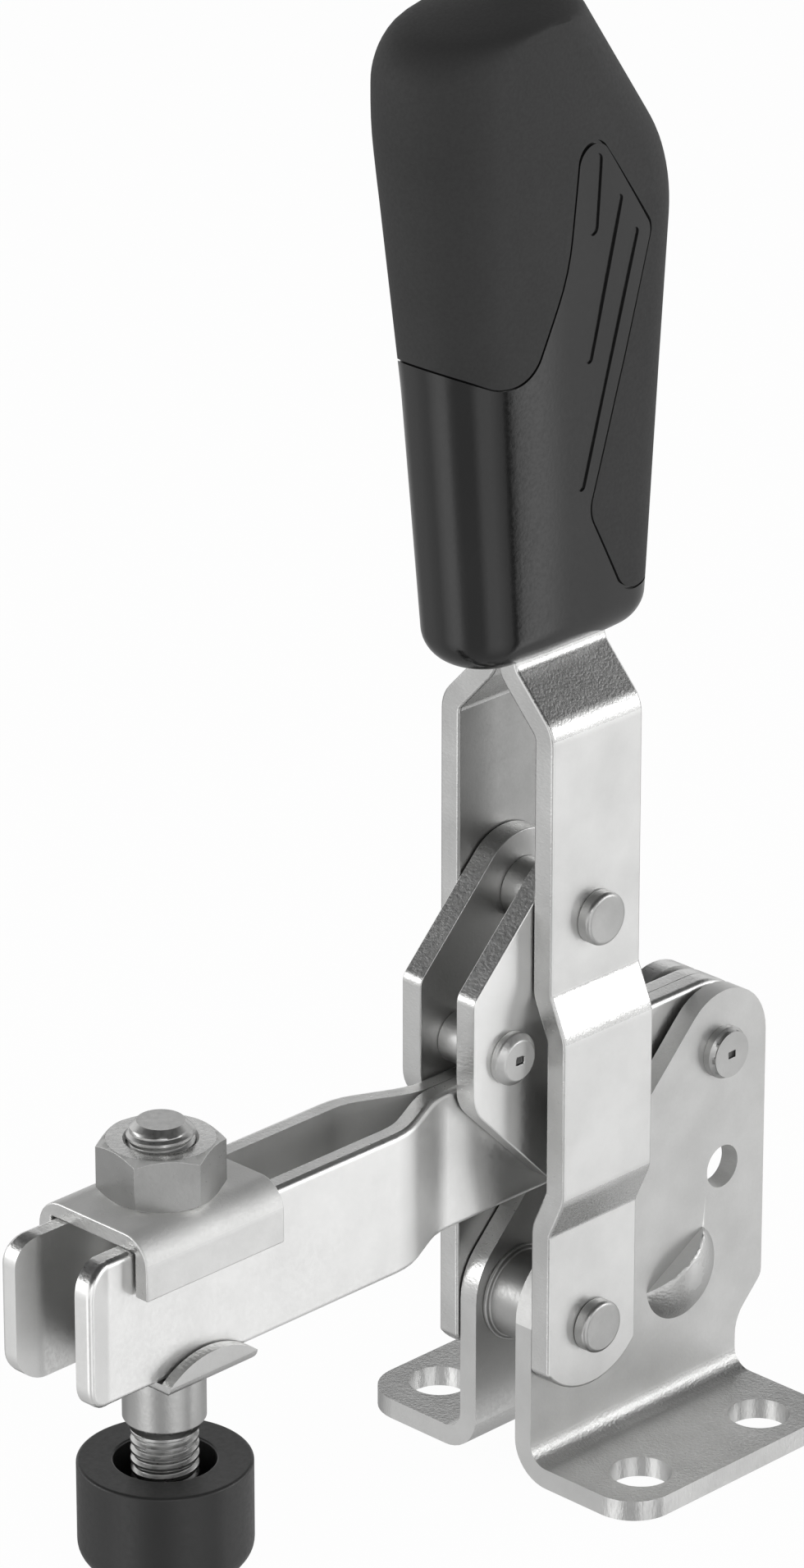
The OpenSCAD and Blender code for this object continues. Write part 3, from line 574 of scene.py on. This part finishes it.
# %% Wrapped grid
def along(line, h):
    """Value of a line of (height, value) points at height h."""
    for (h0, x0), (h1, x1) in zip(line, line[1:]):
        if h <= h1:
            return x0 + (x1 - x0) * max(0.0, h - h0) / max(1e-6, h1 - h0)
    return line[-1][1]


crown_len, crown_rise = 1.21, 0.067


def section(h, inset=0.0):
    """Measures of the section at height h, all drawn in by an inset."""
    rear, front = along(rear_line, h) + inset, along(front_line, h) - inset
    middle, half = (front + rear) / 2, max(0.10, (front - rear) / 2)
    rear, front = middle - half, middle + half
    w = min(along(half_line, h) - inset, half - 0.05)
    crown = min(crown_len * w, half - w)
    rise = crown_rise * w * (crown / (crown_len * w)) ** 2
    tilt = math.atan2(2 * rise, crown)
    nose_r = (w - rise) / math.cos(tilt)
    return rear, front, w, crown, rise, tilt, nose_r


def side_y(x, h):
    """Half width of the grip at a place on its side."""
    rear, front, w, crown, rise, tilt, nose_r = section(h)
    behind = min(front - x, x - rear) - nose_r * (1 - math.sin(tilt))
    return w - rise * max(0.0, 1 - behind / crown) ** 2


def grip_form(skin, start=0.0, arc_steps=36, side_steps=20, rows=96):
    """The whole grip, drawn in by a skin, as a closed bmesh."""
    around = 2 * (arc_steps + side_steps)
    bm = bmesh.new()
    bmesh.ops.create_grid(bm, x_segments=around, y_segments=rows, size=0.5)
    for vert in bm.verts:
        step = (vert.co.x + 0.5) * around
        share = (1 - math.cos(math.pi * (vert.co.y + 0.5))) / 2
        h = start + (peak.y - skin - start) * share
        turned_in = edge_r - math.sqrt(edge_r ** 2 - max(0.0, edge_r - h) ** 2) if h > 0 else edge_r
        rear, front, w, crown, rise, tilt, nose_r = section(h, skin + turned_in)
        reach = nose_r * (1 - math.sin(tilt))
        if step <= arc_steps or arc_steps + side_steps <= step <= 2 * arc_steps + side_steps:
            first = step <= arc_steps
            part = (step if first else step - arc_steps - side_steps) / arc_steps
            angle = (math.pi / 2 - tilt) * (2 * part - 1)
            x, y = nose_r * (math.cos(angle) - 1), nose_r * math.sin(angle)
            x, y = (front + x, y) if first else (rear - x, -y)
        else:
            first = step < arc_steps + side_steps
            part = (step - arc_steps if first else step - 2 * arc_steps - side_steps) / side_steps
            length = front - rear - 2 * reach
            behind = length * min(part, 1 - part)
            y = w - rise * max(0.0, 1 - behind / crown) ** 2
            along_side = reach + length * part
            x, y = (front - along_side, y) if first else (rear + along_side, -y)
        vert.co = Vector((strap_x + x, y, grip_z + h)) * MM
    bmesh.ops.remove_doubles(bm, verts=bm.verts, dist=0.001 * MM)
    bmesh.ops.holes_fill(bm, edges=[e for e in bm.edges if e.is_boundary], sides=0)
    bmesh.ops.recalc_face_normals(bm, faces=bm.faces)
    return bm


# %% [markdown]
# The seam between core and cover, and the grooves in the side panels, are outlines in the side
# view. A few points make a face, the face is extruded right through the grip, and Boolean
# modifiers cut with it. A helper does one Boolean and gives back the result.

# %% Outline tools and Boolean
def prism(outline, half_depth=20):
    """A solid with this side view, from one side of the middle plane to the other."""
    bm = bmesh.new()
    face = bm.faces.new([bm.verts.new((p.x * MM, -half_depth * MM, p.y * MM)) for p in outline])
    grown = bmesh.ops.extrude_face_region(bm, geom=[face])["geom"]
    bmesh.ops.translate(bm, verts=[g for g in grown if isinstance(g, bmesh.types.BMVert)],
                        vec=(0, 2 * half_depth * MM, 0))
    bmesh.ops.recalc_face_normals(bm, faces=bm.faces)
    return bm


def combine(first, how, second):
    """DIFFERENCE, INTERSECT or UNION of two closed bmeshes, as a new bmesh."""
    pair = []
    for bm in (first, second):
        mesh = bpy.data.meshes.new("boolean_part")
        bm.to_mesh(mesh)
        bm.free()
        pair.append(bpy.data.objects.new("boolean_part", mesh))
        bpy.context.scene.collection.objects.link(pair[-1])
    boolean = pair[0].modifiers.new("boolean", "BOOLEAN")
    boolean.operation, boolean.solver, boolean.object = how, "EXACT", pair[1]
    finished = pair[0].evaluated_get(bpy.context.evaluated_depsgraph_get())
    result = bmesh.new()
    result.from_mesh(finished.to_mesh())
    finished.to_mesh_clear()
    for part in pair:
        mesh = part.data
        bpy.data.objects.remove(part)
        bpy.data.meshes.remove(mesh)
    return result


# %% [markdown]
# The bare part of the core has a corner list too, with two more numbers: the way in which each
# corner moves when the outline is grown by the width of the seam. A groove is two end points
# and a width.

# %% Bare part of the core, and the grooves
bare_corners = [(40, 0.589, 0, 0, 1), (15.0, 0.446, 6, 0, 1), (10.0, 0.445, 4.5, 1, 1),
                (4.85, 0.598, 25, 1, 0), (3.3, 0.838, 2.6, 1, 1), (-9.05, 0.624, 2.5, -1, 1),
                (-4.75, 0.431, 30, -1, 0), (0.45, 0.216, 4, -1, 0), (-6.1, 0.067, 4, -1, 1),
                (-40, 0.067, 0, 0, 1)]
grooves = [((0.97, 0.754), (1.29, 0.653), 1.7), ((-3.0, 0.684), (1.1, 0.455), 1.2),
           ((-6.0, 0.624), (1.75, 0.262), 1.3)]
groove_depth = 0.22


def bare_outline(grow):
    """Side view of what the cover leaves bare, grown on every side."""
    corners = [(strap_x + x + grow * gx, grip_z + share * grip_h + grow * gz, r)
               for x, share, r, gx, gz in bare_corners]
    return rounded(corners + [(strap_x + x, grip_z - 4, 0) for x in (-40, 40)], step=5)


def slot_outline(top_end, low_end, width):
    """A straight slot with round ends, between two points of the side view."""
    a, b = (Vector((strap_x + x, grip_z + share * grip_h)) for x, share in (top_end, low_end))
    reach = (b - a).normalized() * width / 2
    outline = []
    for first, last, turn in ((a, b, 90), (b, a, -90)):
        outline += [first + Matrix.Rotation(math.radians(turn + 15 * k), 2) @ reach
                    for k in range(13)]
        side = Matrix.Rotation(math.radians(turn + 180), 2) @ reach
        outline += [first.lerp(last, k / 8) + side for k in range(1, 8)]
    return outline


def groove_cutter(top_end, low_end, floor_w, side):
    """A slot with nearly upright walls, from its floor to just above the skin."""
    bm = bmesh.new()
    loops = []
    for lift, width in ((-groove_depth, floor_w), (0.2, floor_w + 0.1)):
        ring = [bm.verts.new((p.x * MM, side * (side_y(p.x - strap_x, p.y - grip_z) + lift) * MM,
                              p.y * MM)) for p in slot_outline(top_end, low_end, width)]
        loops += [bm.edges.new(pair) for pair in zip(ring, ring[1:] + ring[:1])]
    bmesh.ops.bridge_loops(bm, edges=loops)
    bmesh.ops.holes_fill(bm, edges=[e for e in bm.edges if e.is_boundary], sides=0)
    bmesh.ops.recalc_face_normals(bm, faces=bm.faces)
    return bm


def inner_form():
    """The core under the cover, which nobody sees, with few faces."""
    return grip_form(cover_t, start=1.5, arc_steps=16, side_steps=4, rows=40)


# %% [markdown]
# The core is the bare part of the whole form, a lip that is the floor of the seam, and the
# inner form that carries the cover.

# %% Core with its grooves
core = combine(grip_form(0), "INTERSECT", prism(bare_outline(0)))
lip = combine(grip_form(seam_depth, start=1.0, rows=60), "INTERSECT",
              prism(bare_outline(seam - 0.02)))
core = combine(core, "UNION", lip)
core = combine(core, "UNION", inner_form())
for groove in grooves:
    for way in (1, -1):
        core = combine(core, "DIFFERENCE", groove_cutter(*groove, way))
print("core of the grip:", len(core.faces), "faces")

# %% [markdown]
# The straps run up into a pocket in the core. It is a plain block here, cut out from below.

# %% Strap pocket, core and cover
pocket_size, pocket_top = (15.24, 6.14, 44), 43.12
pocket = bmesh.new()
bmesh.ops.create_cube(pocket, size=1.0)
bmesh.ops.scale(pocket, vec=Vector(pocket_size) * MM, verts=pocket.verts)
pocket_z = grip_z + pocket_top - pocket_size[2] / 2
bmesh.ops.translate(pocket, vec=Vector((strap_x, 0, pocket_z)) * MM, verts=pocket.verts)
core = combine(core, "DIFFERENCE", pocket)
show("grip_core", core, (hard_nylon,), "grip_hard", "grip_body", smooth_below=40)

skin = combine(grip_form(0), "DIFFERENCE", prism(bare_outline(seam)))
skin = combine(skin, "DIFFERENCE", inner_form())
cover = show("grip_skin", skin, (soft_cover,), "grip_soft", "grip_cover", smooth_below=40)
print("cover of the grip:", len(cover.data.polygons), "faces")

# %% [markdown]
# ## Floor, light and camera
# The clamp stands on a plain white floor. The floor is white to the camera, and it is white
# paint that takes the shadow for everything else. Metal shows what stands around it, so what
# glossy rays find is a matter of its own: they pass through the floor to the world.

# %% Floor
floor_half, floor_gap, camera_share = 4.0, 0.2 * MM, 0.97
floor_mesh = bpy.data.meshes.new("studio_floor")
bm = bmesh.new()
bmesh.ops.create_grid(bm, x_segments=1, y_segments=1, size=floor_half)
bm.to_mesh(floor_mesh)
bm.free()
floor = bpy.data.objects.new("studio_floor", floor_mesh)
floor.location.z = min(0.0, cad_box[0][2]) - floor_gap
floor.visible_glossy = False
floor.visible_transmission = False
bpy.context.scene.collection.objects.link(floor)
floor_paint, tree, out = new_material("studio_floor_paint")
glow = add(tree, "ShaderNodeEmission", {"Color": colour("ffffff"), "Strength": 1.0})
paint = add(tree, "ShaderNodeBsdfDiffuse", {"Color": colour("f6f6f6")})
seen = add(tree, "ShaderNodeLightPath")
share = add(tree, "ShaderNodeMath", {0: seen.outputs["Is Camera Ray"], 1: camera_share},
            operation="MULTIPLY")
blend = add(tree, "ShaderNodeMixShader", {0: share.outputs[0], 1: paint.outputs[0],
                                          2: glow.outputs[0]})
tree.links.new(blend.outputs[0], out.inputs["Surface"])
floor_mesh.materials.append(floor_paint)
print("floor at", round(floor.location.z / MM, 2), "mm")

# %% [markdown]
# The world is white to the camera. To the clamp it is the studio: a white table with pools of
# light below the horizon, white walls along it, and a dim ceiling. An upright face mirrors the
# table, in a direction that depends only on the way it faces. So the pools are laid out by
# bearing round the clamp, from the +X axis towards +Y, and the walls and the ceiling by height.
# Right under the clamp all bearings meet, so there the table is one plain grey. Each list gives
# places and levels of light.

# %% World
pool_levels = [(-180, 0.60), (-135, 0.50), (-90, 0.35), (-60, 0.65), (-32, 0.70), (-20, 1.2),
               (-8, 1.6), (4, 1.6), (14, 0.7), (24, 0.5), (52, 0.5), (66, 1.2), (84, 1.2),
               (110, 0.6), (116, 0.12), (123, 0.12), (127, 1.8), (131.5, 1.8), (135.5, 0.85),
               (155, 0.78), (180, 0.60)]
wall_levels = [(0.0, 1.0), (0.30, 1.05), (0.42, 1.0), (0.53, 0.22), (0.63, 0.07), (1.0, 0.07)]
world = bpy.data.worlds.new("studio_world")
world.use_nodes = True
bpy.context.scene.world = world
tree = world.node_tree
tree.nodes.clear()


def grey(level):
    return (level, level, level, 1.0)


way = add(tree, "ShaderNodeTexCoord").outputs["Generated"]
axes = add(tree, "ShaderNodeSeparateXYZ", {"Vector": way})
bearing = add(tree, "ShaderNodeMath", {0: axes.outputs["Y"], 1: axes.outputs["X"]},
              operation="ARCTAN2")
turn = add(tree, "ShaderNodeMapRange",
           {"Value": bearing.outputs[0], "From Min": -math.pi, "From Max": math.pi})
pools = ramp(tree, turn.outputs["Result"],
             *[((degrees + 180) / 360, grey(level)) for degrees, level in pool_levels])
walls = ramp(tree, axes.outputs["Z"], *[(height, grey(level)) for height, level in wall_levels])
raised = add(tree, "ShaderNodeMapRange",
             {"Value": axes.outputs["Z"], "From Min": -0.10, "From Max": 0.02})
outward = add(tree, "ShaderNodeMapRange",
              {"Value": axes.outputs["Z"], "From Min": -0.90, "From Max": -0.50})
under = add(tree, "ShaderNodeBackground", {"Color": grey(0.55), "Strength": 1.0})
pooled = add(tree, "ShaderNodeBackground", {"Color": pools, "Strength": 1.0})
low = add(tree, "ShaderNodeMixShader", {0: outward.outputs["Result"], 1: under.outputs[0],
                                        2: pooled.outputs[0]})
high = add(tree, "ShaderNodeBackground", {"Color": walls, "Strength": 1.0})
studio = add(tree, "ShaderNodeMixShader", {0: raised.outputs["Result"], 1: low.outputs[0],
                                           2: high.outputs[0]})
white = add(tree, "ShaderNodeBackground", {"Color": colour("ffffff"), "Strength": 1.0})
seen = add(tree, "ShaderNodeLightPath")
blend = add(tree, "ShaderNodeMixShader", {0: seen.outputs["Is Camera Ray"],
                                          1: studio.outputs[0], 2: white.outputs[0]})
out = add(tree, "ShaderNodeOutputWorld", {"Surface": blend.outputs[0]})
print("studio world:", len(tree.nodes), "nodes")

# %% [markdown]
# The camera was worked out from the clamp itself: the four foot holes, the pivots and the nut
# fix its direction and distance, about 0.9 m away with a long lens.

# %% Camera
azimuth, elevation = math.radians(134.57), math.radians(23.09)
target, distance = Vector((34.24, 0, 94.6)) * MM, 0.9105
back = Vector((math.sin(azimuth) * math.cos(elevation), -math.cos(azimuth) * math.cos(elevation),
               math.sin(elevation)))
camera_data = bpy.data.cameras.new("camera")
camera_data.sensor_fit = "VERTICAL"
camera_data.sensor_height = 36
camera_data.lens = 181.7
camera_data.clip_start, camera_data.clip_end = 0.05, 30
camera = bpy.data.objects.new("camera", camera_data)
camera.location = target + back * distance
camera.rotation_euler = back.to_track_quat("Z", "Y").to_euler()
bpy.context.scene.collection.objects.link(camera)
bpy.context.scene.camera = camera

# %% [markdown]
# Two soft boxes stand left and right, so low that only faces that lean a little upwards mirror
# them: the rolled rims and the upper folds. A small one in front puts a thin line of light on
# the slanted edges. A large one overhead lights only what is matt, and no metal mirrors it.

# %% Lamps
def soft_box(name, bearing, rise, distance, size, watts):
    """A rectangular lamp that looks at the middle of the clamp, placed by two angles."""
    data = bpy.data.lights.new(name, "AREA")
    data.shape = "RECTANGLE"
    data.size, data.size_y = size
    data.energy = watts
    lamp = bpy.data.objects.new(name, data)
    bearing, rise = math.radians(bearing), math.radians(rise)
    direction = Vector((math.cos(bearing) * math.cos(rise), math.sin(bearing) * math.cos(rise),
                        math.sin(rise)))
    lamp.location = target + direction * distance
    lamp.rotation_euler = direction.to_track_quat("Z", "Y").to_euler()
    bpy.context.scene.collection.objects.link(lamp)
    return lamp


soft_box("left_box", -42, 11, 0.80, (0.50, 0.20), 1.0)
soft_box("right_box", 133, 11, 0.80, (0.50, 0.20), 1.0)
soft_box("front_box", 57, 26, 0.90, (0.25, 0.20), 0.5)
soft_box("top_box", 60, 80, 1.00, (0.80, 0.80), 3.0).visible_glossy = False

# %% [markdown]
# ## Finish
# Colours are to come out as they are written, so the view transform is Standard.

# %% View settings
bpy.context.scene.view_settings.view_transform = "Standard"
